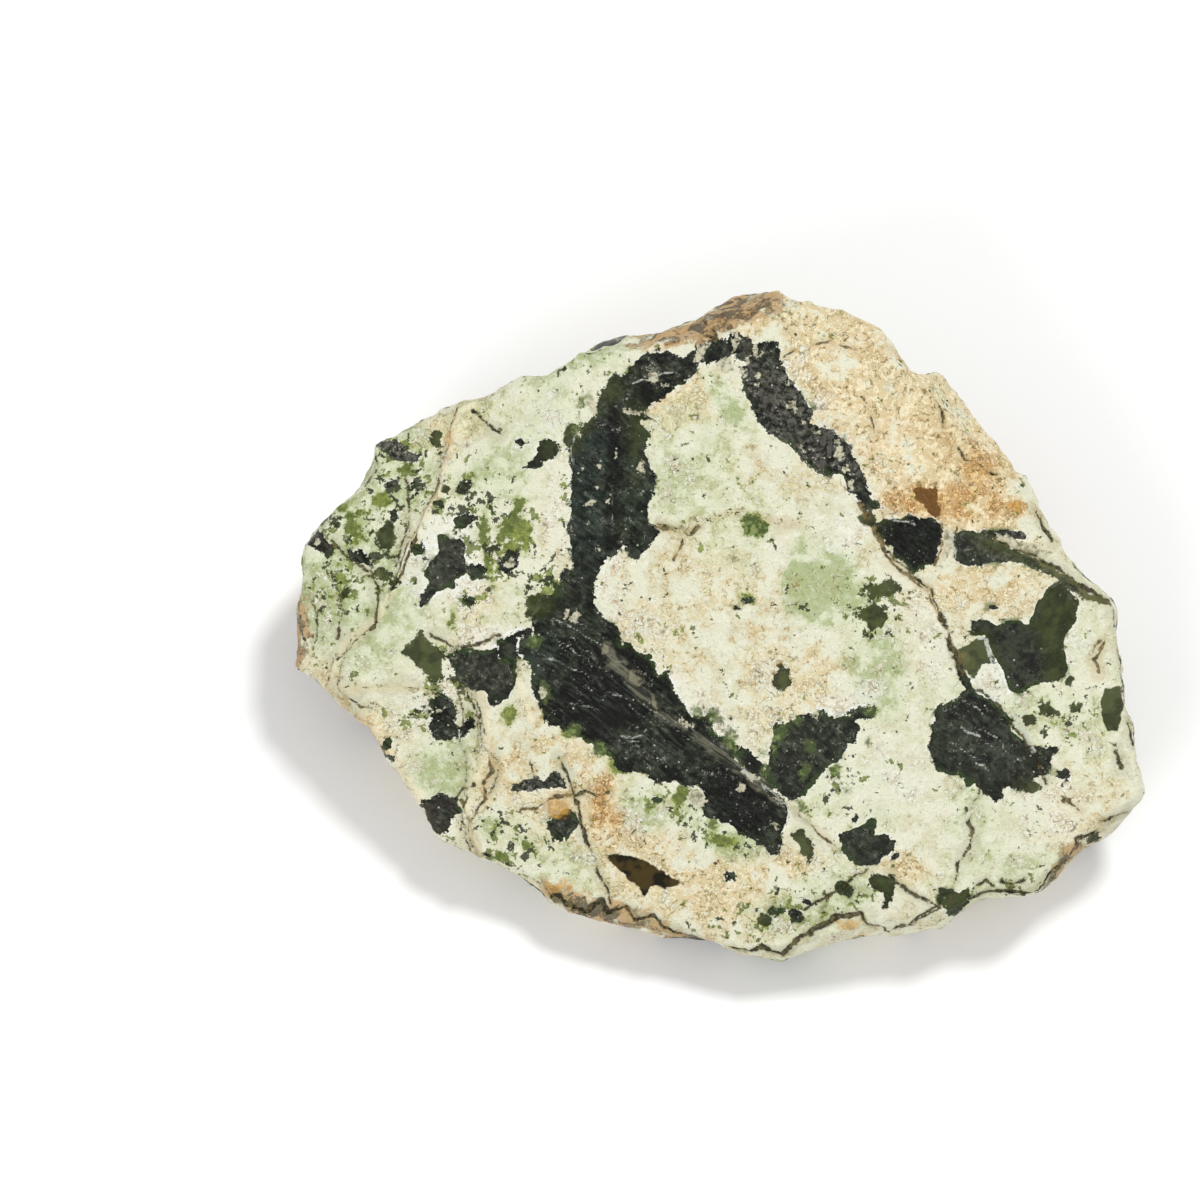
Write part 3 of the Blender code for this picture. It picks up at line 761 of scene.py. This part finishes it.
def hidden_markings(points):
    """The same markings where the camera doesn't see: sheets and pockets through the stone."""
    strayed = points + noise_at(points, 5 * MM, 3, seed=9)[:, None] * np.array(RIGHT) * 2 * MM
    pocket = noise_at(points, 15 * MM, 3, seed=2)
    across = points @ np.array(SHEET_ACROSS) / SHEET_APART
    across = across + noise_at(points, 30 * MM, 3, seed=1) * 0.35
    from_sheet = np.abs(across - np.round(across)) * SHEET_APART / MM
    sheet = 2.0 + 5.0 * noise_at(points, 14 * MM, 3, seed=6) - from_sheet
    stains = noise_at(points, 30 * MM, 2, seed=3)
    crust = noise_at(points, 24 * MM, 2, seed=4)
    seam = noise_at(points, 20 * MM, 2, seed=5)
    return {
        "dark": within_reach(np.maximum(sheet, patches(strayed, 11 * MM, 0.13, seed=2))),
        "olive": patches(strayed, 6 * MM, 0.07, seed=3),
        "green": np.minimum(patches(strayed, 3.5 * MM, 0.2, seed=4), -pocket * 8),
        "crust": within_reach((crust - 0.55) * 8),
        "crack": np.clip(np.abs(seam) * 14 - 0.2, -1, FIELD_REACH),
        "rust_crack": np.clip(np.abs(seam - 0.3) * 14 - 0.3, -1, FIELD_REACH),
        "mint": ramp(-0.1, 0.4, stains),
        "tan": ramp(-0.35, 0.15, -stains),
        "orange": ramp(0.1, 0.5, crust) * 0.8,
        "white": ramp(0.1, 0.5, seam) * 0.6,
        "speckled": ramp(0.0, 0.4, -pocket) * 0.8,
        "polished": ramp(0.0, 0.4, pocket),
        "teal": ramp(0.0, 0.4, stains),
        "umber": ramp(0.0, 0.4, crust),
        "jet": ramp(0.0, 0.4, seam),
        "ashen": ramp(0.0, 0.4, -stains),
    }


# -------------------- the small relief


def scallops(points, size, seed):
    """Hollows like flake scars with sharp ridges between: 0 on the ridges, -1 in a scar."""
    shift = Vector((seed * 2.3, seed * 4.1, seed * 1.7))
    nearest = [noise.voronoi(Vector(p) / size + shift)[0][0] for p in points]
    return np.minimum(np.array(nearest) / 0.75, 1) - 1


def relieve(stone):
    """Moves the surface for the grain, flake scars, sunk veins and open cracks."""
    points = points_of(stone)
    normals = normals_of(stone)
    fields = markings(points, normals)
    broken = 1 - ramp(0.55, 0.97, facing(normals))
    veined = ramp(-0.3, 0.5, fields["dark"])
    rough = np.clip(ramp(-1, 1, fields["crust"]) + fields["tan"] * 0.4 + broken, 0, 1)
    strayed = points + noise_at(points, 4 * MM, 2, seed=8)[:, None] * normals * 1.2 * MM
    move = scallops(strayed, 10 * MM, seed=1) * (0.15 + 1.5 * broken)
    move += scallops(strayed, 3.6 * MM, seed=2) * (0.12 + 0.5 * rough) * (1 - 0.5 * veined)
    move += noise_at(points, 6 * MM, 3) * (0.1 + 0.15 * rough) * (1 - 0.5 * veined)
    move += noise_at(points, 1.8 * MM, 2, seed=6) * (0.06 + 0.16 * rough) * (1 - 0.6 * veined)
    move -= VEINS_SINK * veined
    move += RIDGE_RISE * ramp(-1.2, 0.3, fields["ridge"])
    move += CREASE_RISE * (1 - ramp(0.0, 2.4, fields["crease_and_highlight"]))
    move -= CRACK_DEPTH * (1 - ramp(-0.1, 0.45, fields["crack"]))
    move -= RUST_CRACK_DEPTH * (1 - ramp(-0.5, 0.3, fields["rust_crack"]))
    moved = points + normals * move[:, None] * MM
    moved[:, 2] = np.where(points[:, 2] < GRAIN / 2, points[:, 2], moved[:, 2])
    moved = np.clip(moved, *np.array(CAD_BOX))
    stone.data.vertices.foreach_set("co", moved.astype(np.float32).ravel())
    stone.data.update()
    for name, values in fields.items():
        layer = stone.data.attributes.new(name, "FLOAT", "POINT")
        layer.data.foreach_set("value", values.astype(np.float32))


# -------------------- the material


def colour(code):
    """A colour from its web code, made linear."""
    parts = [int(code[i : i + 2], 16) / 255 for i in (1, 3, 5)]
    return (*[p / 12.92 if p <= 0.04045 else ((p + 0.055) / 1.055) ** 2.4 for p in parts], 1)


class Value:
    """What a node gives. Its sums, differences, products and size are further nodes."""

    def __init__(self, graph, socket):
        self.graph = graph
        self.socket = socket

    def __add__(self, other):
        return self.graph.math("ADD", self, other)

    def __mul__(self, other):
        return self.graph.math("MULTIPLY", self, other)

    def __sub__(self, other):
        return self.graph.math("SUBTRACT", self, other)

    def __rsub__(self, other):
        return self.graph.math("SUBTRACT", other, self)

    def __abs__(self):
        return self.graph.math("ABSOLUTE", self)

    __radd__ = __add__
    __rmul__ = __mul__


class Graph:
    """A material's nodes, with a short call for each kind that the stone uses."""

    def __init__(self, name):
        self.material = bpy.data.materials.new(name)
        self.material.use_nodes = True
        self.tree = self.material.node_tree
        self.shader = self.tree.nodes["Principled BSDF"]
        place = self.node("TexCoord", "Object")
        self.place = self.node("VectorMath", 0, {0: place, "Scale": 1 / MM}, operation="SCALE")

    def feed(self, socket, value):
        """Links a value, or sets a number, a vector or the colour of a web code."""
        if isinstance(value, Value):
            self.tree.links.new(value.socket, socket)
        else:
            socket.default_value = colour(value) if isinstance(value, str) else value

    def node(self, kind, output, inputs=None, **settings):
        """One output of a new node."""
        node = self.tree.nodes.new("ShaderNode" + kind)
        for name, setting in settings.items():
            setattr(node, name, setting)
        for socket, value in (inputs or {}).items():
            self.feed(node.inputs[socket], value)
        return Value(self, node.outputs[output])

    def math(self, operation, first, second=0.5):
        return self.node("Math", 0, {0: first, 1: second}, operation=operation)

    def step(self, low, high, value):
        """0 below low, 1 above high, and a smooth step between. low may be above high."""
        first, last = (1.0, 0.0) if low > high else (0.0, 1.0)
        low, high = sorted((low, high))
        ends = {"From Min": low, "From Max": high, "To Min": first, "To Max": last}
        return self.node("MapRange", 0, {"Value": value, **ends}, interpolation_type="SMOOTHSTEP")

    def mix(self, share, first, second):
        return self.node("Mix", 2, {0: share, 6: first, 7: second}, data_type="RGBA")

    def layers(self, base, *layers):
        """A base with layers painted over it, each one its share and its paint."""
        for share, paint in layers:
            base = self.mix(share, base, paint)
        return base

    def held(self, name):
        """A number that the mesh holds for each vertex."""
        return self.node("Attribute", "Fac", attribute_name=name)

    def shifted(self, place, *shift):
        return self.node("VectorMath", 0, {0: place, 1: shift}, operation="ADD")

    def noise(self, size, detail=2.0, roughness=0.5, seed=0.0, place=None):
        """Noise from 0 to 1 with lumps of that size in mm."""
        shifted = self.shifted(place or self.place, seed * 17.0, seed * 31.0, seed * 47.0)
        inputs = {"Vector": shifted, "Scale": 1 / size, "Detail": detail, "Roughness": roughness}
        return self.node("TexNoise", "Fac", inputs)

    def fibres(self, size, stretch, angle, seed=0.0):
        """Noise drawn out into fibres that run at an angle to the right, in degrees."""
        turn = (0, 0, math.radians(angle))
        inputs = {"Vector": self.place, "Rotation": turn, "Scale": (stretch, 1, 1)}
        turned = self.node("Mapping", 0, inputs, vector_type="TEXTURE")
        return self.noise(size, seed=seed, place=turned)

    def cells(self, size, seed=0.0):
        """Cells that far apart in mm: distance from the middle, and three random shares."""
        shifted = self.shifted(self.place, seed * 13.0, seed * 29.0, seed * 41.0)
        distance = self.node("TexVoronoi", "Distance", {"Vector": shifted, "Scale": 1 / size})
        random = Value(self, distance.socket.node.outputs["Color"])
        shares = self.node("SeparateXYZ", 0, {0: random}).socket.node.outputs
        return distance, *[Value(self, share) for share in shares]


def stone_material():
    g = Graph("chalcedony")
    wide = g.held("wide")
    middle = g.held("middle")
    fine = g.noise(1.0, 3, 0.65, seed=3)
    tiny = g.noise(0.35, 2, 0.7, seed=4)
    gap, grain, glint, tone = g.cells(0.75, seed=5)
    _, chip, shade, tint = g.cells(2.1, seed=6)

    # How far each edge strays, in mm
    ragged = middle * 0.7 + (fine - 0.5) * 1.4 + (tiny - 0.5) * 0.8 + (grain - 0.5) * 0.4
    calm = 1 - g.held("polished") * 0.75
    chipped = (ragged + (chip - 0.5) * 0.35) * calm
    blurred = wide * 0.9 + middle * 0.8 + (fine - 0.5) * 0.9 + (grain - 0.5) * 0.5

    # The pale ground: cream, with mint, white, tan and orange stains
    mint = g.step(-0.1, 1.2, g.held("mint") + blurred * 0.8)
    tan = g.step(0.0, 0.9, g.held("tan") + blurred)
    orange = g.step(0.4, 1.2, g.held("orange") + blurred - mint * 0.6)
    waxen = g.step(0.9, 1.4, g.held("mint"))
    even = g.step(0.9, 1.2, g.held("tan"))
    white = g.step(0.35, 0.95, g.held("white") + blurred - waxen * 1.2)
    mottled = g.noise(2.2, 3, 0.65, seed=9)
    grainy = g.step(0.35, 0.65, fine)
    ground = g.layers(
        g.mix(g.step(-0.3, 0.3, middle), "#e0e0c9", "#d9d7bc"),
        (tan, g.mix(grainy, "#f0e4c2", "#cfb787")),
        (mint, g.mix(g.step(0.5, 1.0, mint), "#cbd4ae", "#abb687")),
        (mint * g.step(0.5, 0.62, mottled) * (0.4 - waxen * 0.25), "#e2e6d2"),
        (mint * g.step(0.47, 0.36, mottled) * 0.4, "#a3b07c"),
        (white * 0.7, "#e9e9dd"),
        (orange, g.mix(grainy, "#e4c48a", "#b8915a")),
    )

    # Its grain: worm-like lines, painted shade in its hollows and painted highlights on its tops,
    # rust, hair cracks and pits
    sugary = 0.25 + tan * 0.7 + orange * 0.6 - mint * 0.3 - waxen * 0.3 - even * 0.45
    worms = g.step(0.055, 0.012, abs(fine - 0.5 + (tiny - 0.5) * 0.15 + 0.02))
    clustered = 0.3 + g.step(-0.1, 0.35, middle) * 0.6
    # Painted shade: darker where the fine bump is low
    painted_hollow_shade = g.step(0.42, 0.3, fine * 0.8 + tiny * 0.2)
    # Painted highlight: paler where the fine bump is high
    painted_grain_highlights = g.step(0.56, 0.64, tiny * 0.5 + fine * 0.5)
    rust = g.step(0.8, 0.84, grain) * g.step(0.05, 0.3, middle) * g.step(0.49, 0.55, tiny)
    hairs = g.step(0.03, 0.01, abs(g.noise(2.6, 2, 0.5, seed=20) - 0.5))
    pits = g.step(0.22, 0.12, gap) * g.step(0.972, 0.98, tone)
    ground = g.layers(
        ground,
        (worms * sugary * clustered, g.mix(orange, "#a1854b", "#8f6330")),
        (painted_hollow_shade * (0.6 - even * 0.3), "#8f8558"),
        (painted_grain_highlights * 0.5, "#f6f3e4"),
        (rust * (1 - mint) * 0.6, "#a8803e"),
        (hairs * g.step(0.48, 0.56, fine) * (0.22 + tan * 0.55), "#75663c"),
        (pits * 0.9, "#3a3421"),
    )

    # Specks of green and dark, thick where the stone is speckled
    speckled = g.held("speckled") * 0.17 + (grain - 0.5) * 0.07 + (chip - 0.5) * 0.07
    mossy = g.step(0.66, 0.69, g.noise(3.0, 3, 0.7, seed=6) + speckled)
    deep = g.step(0.68, 0.7, g.noise(2.2, 3, 0.7, seed=8) + speckled)

    # Where the dark and green markings lie, and what borders them
    dark_edge = g.held("dark") + chipped
    dark = g.step(-0.03, 0.05, dark_edge)
    paler = 1 - dark
    olive = paler * g.step(-0.08, 0.12, g.held("olive") + chipped)
    soft_olive = dark * g.step(-2.4, 1.8, g.held("olive") + blurred)
    olive = g.math("MAXIMUM", olive, soft_olive * 0.8)
    green_edge = g.held("green") + chipped
    green = g.step(-0.1, 0.2, green_edge)
    glow = g.step(-0.9, 0.1, green_edge)
    rim = g.step(-0.7, -0.1, dark_edge) * g.step(0.1, 0.35, middle) * g.step(0.3, 0.7, shade)
    halo = g.step(-0.9, -0.1, dark_edge) * g.step(0.2, 0.8, g.held("white"))
    halo = halo * g.step(0.2, 0.5, grain)
    fringe = g.step(1.0, 0.2, dark_edge) * g.step(0.05, 0.3, wide)
    outer = g.step(-0.45, -0.05, dark_edge) * g.step(0.35, 0.6, tint)
    inner = g.step(0.4, 0.05, dark_edge)
    lens = g.step(-0.6, 0.8, g.held("lens") + blurred) * dark

    # The dark stone itself, from its tones to its fibres, frost and flecks
    ashen = g.step(0.2, 1.0, g.held("ashen") + blurred)
    dusty = g.step(1.0, 1.8, g.held("ashen"))
    jet = g.step(0.2, 0.9, g.held("jet") + blurred)
    fibres = g.fibres(0.6, 9.0, -38, seed=12)
    frost = g.step(0.565, 0.61, fine * 0.45 + tiny * 0.55) * calm * g.step(-0.1, 0.35, middle)
    flecks = g.step(0.3, 0.2, gap + (tiny - 0.5) * 0.2) * g.step(0.95, 0.96, glint)
    ink = g.layers(
        g.mix(g.step(-0.3, 0.3, middle), "#10130b", "#262c1e"),
        (g.step(0.05, 0.45, wide + (chip - 0.5) * 0.3) * 0.55, "#3c402e"),
        (g.step(0.1, 0.9, g.held("teal") + blurred) * 0.7, "#2e3b33"),
        (g.step(0.1, 0.9, g.held("umber") + blurred) * 0.7, "#433f35"),
        (g.held("polished") * 0.6, "#3d4133"),
        (ashen * g.step(0.4, 0.65, fine) * 0.7, "#4b4e42"),
        (g.step(0.7, 0.95, chip) * (1 - jet) * 0.45, "#4a5042"),
        (g.step(0.58, 0.7, fine) * g.step(0.5, 0.9, shade) * 0.5, "#7d8173"),
        (g.step(0.48, 0.38, fine) * 0.5, "#040503"),
        (jet * 0.85, "#040504"),
        (fringe * 0.85, "#364a1e"),
        (g.step(0.53, 0.62, fibres) * (0.06 + lens * 0.12) * calm, "#5f645a"),
        (g.step(0.47, 0.4, fibres) * 0.6 * calm, "#030402"),
        (inner * 0.6, "#060805"),
        (dusty * g.step(0.4, 0.64, fine) * 0.42, "#77736a"),
        (frost * (0.22 + ashen * 0.55 - jet * 0.15), "#b0b2a2"),
        (flecks * 0.8, "#b9bcae"),
    )

    # Ground, specks, dark and green together
    leaf = g.mix(g.step(-0.2, 0.3, middle), "#424a23", "#2d3416")
    moss = g.mix(g.step(-0.35, 0.15, wide), "#6d7b39", "#8c9846")
    moss = g.mix(grainy, moss, "#55602e")
    jade = g.step(-0.5, 0.4, g.held("jade") + ragged * 1.2 + (tiny - 0.5))
    body = g.layers(
        ground,
        (outer * 0.5, "#f1f0e4"),
        (halo * 0.9, "#eceee8"),
        (glow * 0.45, "#a9b575"),
        (rim * 0.8, "#66743a"),
        (mossy * 0.9, moss),
        (deep * 0.92, "#2c3220"),
        (green * 0.95, moss),
        (dark, ink),
        (olive * 0.97, leaf),
        (jade * 0.85, g.mix(g.step(0.4, 0.55, fine), "#84925a", "#47562c")),
    )

    # Crust, brown spots, the pale ridge, chips, lines and cracks
    crust = g.step(-0.8, 0.8, g.held("crust") + blurred + blurred)
    flaky = fine * 0.6 + tiny * 0.4 + (chip - 0.5) * 0.25 + middle * 0.15
    brown = g.step(-0.1, 0.2, g.held("brown") + ragged * 0.5)
    amber = g.step(-0.1, 0.2, g.held("amber") + ragged * 0.6)
    ridge = dark * g.step(-0.5, 0.7, g.held("ridge") + blurred)
    pale = g.step(-0.05, 0.1, g.held("pale") + ragged * 1.1 - 0.1)
    rust_spot = g.step(-0.3, 0.9, g.held("rust_spot") + blurred)
    thin = (fine - 0.5) * 0.5 + (tiny - 0.5) * 0.35
    # Partly pale veinlets and partly painted highlight streaks on the glossy dark
    pale_line_and_highlight = g.step(0.12, -0.1, g.held("pale_line_and_highlight") + thin) * g.step(0.3, 0.5, fine)
    stained = g.step(1.0, 0.0, g.held("rust_crack") + blurred)
    rust_crack = g.step(0.12, -0.12, g.held("rust_crack") + middle * 0.5 + thin)
    crease_and_highlight = g.step(1.1, 0.3, g.held("crease_and_highlight") + blurred * 0.6)
    mossed = g.step(1.5, 0.1, g.held("crack") + wide * 1.5 + blurred)
    torn = g.held("crack") + middle * 0.3 + (fine - 0.5) * 0.9 + (tiny - 0.5) * 0.6
    # Partly an olive-brown stain beside the cracks and partly painted shade along their grooves
    crack_stain_and_shade = g.step(0.5, 0.1, torn) * g.step(0.35, 0.6, g.noise(1.7, 2, 0.6, seed=23))
    core = g.step(0.4, 0.65, g.noise(0.8, 2, 0.6, seed=24))
    flecked = g.step(0.4, 0.6, fine)
    body = g.layers(
        body,
        (crust * 0.85, g.mix(g.step(0.4, 0.58, flaky), "#38260f", "#bd9d70")),
        (brown, g.mix(g.step(-0.2, 0.3, middle), "#1b160b", "#443717")),
        (amber * 0.9, g.mix(g.step(0.3, 0.7, fine), "#482c0b", "#704818")),
        (ridge * 0.6, g.mix(g.step(0.42, 0.6, fibres), "#3b3d34", "#7d7b68")),
        (ridge * g.step(0.85, 0.95, chip) * 0.5, "#a39c80"),
        (pale * 0.9, g.mix(g.step(0.35, 0.6, fine), "#77765c", "#cfcab0")),
        (rust_spot * 0.7, g.mix(flecked, "#a8782c", "#cfa24e")),
        (pale_line_and_highlight * 0.9, "#c2c6bb"),
        (stained * paler * 0.3, "#b3935a"),
        (rust_crack * 0.9, g.mix(flecked, "#2b2614", "#7d6c44")),
        # Partly the creases' pale colour and partly a painted highlight along their crests
        (crease_and_highlight * paler * 0.55, "#ebe0bd"),
        (mossed * paler * 0.25, "#85804f"),
        # Stain and painted shade beside the cracks
        (crack_stain_and_shade * paler * 0.35, "#6e673f"),
        (g.step(0.22, 0.05, torn) * 0.93, g.mix(core, "#1f1b11", "#655b3a")),
    )

    # Waxy where dark or green, dry and grainy elsewhere
    waxy = g.math("MAXIMUM", dark, g.math("MAXIMUM", olive, green * 0.7))
    dry = 0.5 + fine * 0.25
    gloss = 0.16 + fine * 0.2 - lens * 0.06
    bump = {"Height": fine + tiny * 0.5, "Distance": BUMP_DEPTH, "Strength": BUMP_STRENGTH}
    g.feed(g.shader.inputs["Base Color"], body)
    g.feed(g.shader.inputs["Roughness"], dry * (1 - waxy) + gloss * waxy)
    g.feed(g.shader.inputs["Normal"], g.node("Bump", "Normal", bump))
    g.shader.inputs["IOR"].default_value = CHALCEDONY_IOR
    g.shader.inputs["Specular IOR Level"].default_value = STONE_SPECULAR
    return g.material


# -------------------- the setting


def floor_material():
    g = Graph("floor")
    g.shader.inputs["Base Color"].default_value = (FLOOR_GREY, FLOOR_GREY, FLOOR_GREY, 1)
    g.shader.inputs["Roughness"].default_value = FLOOR_ROUGHNESS
    g.shader.inputs["Specular IOR Level"].default_value = FLOOR_SPECULAR
    return g.material


def make_floor():
    bpy.ops.mesh.primitive_plane_add(size=FLOOR_SIZE)
    floor = bpy.context.object
    floor.name = "floor"
    floor.data.materials.append(floor_material())


def softbox(name, place, size, power):
    light = bpy.data.lights.new(name, "AREA")
    light.shape = "DISK"
    light.size = size
    light.energy = power
    lamp = bpy.data.objects.new(name, light)
    bpy.context.scene.collection.objects.link(lamp)
    lamp.location = place
    lamp.rotation_euler = (Vector(LIT_POINT) - Vector(place)).to_track_quat("-Z", "Y").to_euler()


def make_light():
    world = bpy.data.worlds.new("studio")
    bpy.context.scene.world = world
    world.use_nodes = True
    background = world.node_tree.nodes["Background"]
    background.inputs["Color"].default_value = (1, 1, 1, 1)
    background.inputs["Strength"].default_value = SKY_STRENGTH
    for name, light in LIGHTS.items():
        softbox(name, *light)


def make_camera():
    data = bpy.data.cameras.new("camera")
    data.lens = LENS
    data.sensor_width = SENSOR
    data.clip_start = 0.01
    data.clip_end = 20
    camera = bpy.data.objects.new("camera", data)
    bpy.context.scene.collection.objects.link(camera)
    turn = Matrix((RIGHT, UPWARDS, OUTWARDS)).transposed()
    camera.matrix_world = Matrix.Translation(CAMERA_POINT) @ turn.to_4x4()
    bpy.context.scene.camera = camera


def main():
    bpy.context.scene.view_settings.view_transform = "Standard"
    stone = stone_object()
    make_fine(stone)
    relieve(stone)
    stone.data.shade_smooth()
    stone.data.materials.clear()
    stone.data.materials.append(stone_material())
    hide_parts(NODE)
    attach(stone, "root")
    make_floor()
    make_light()
    make_camera()


main()
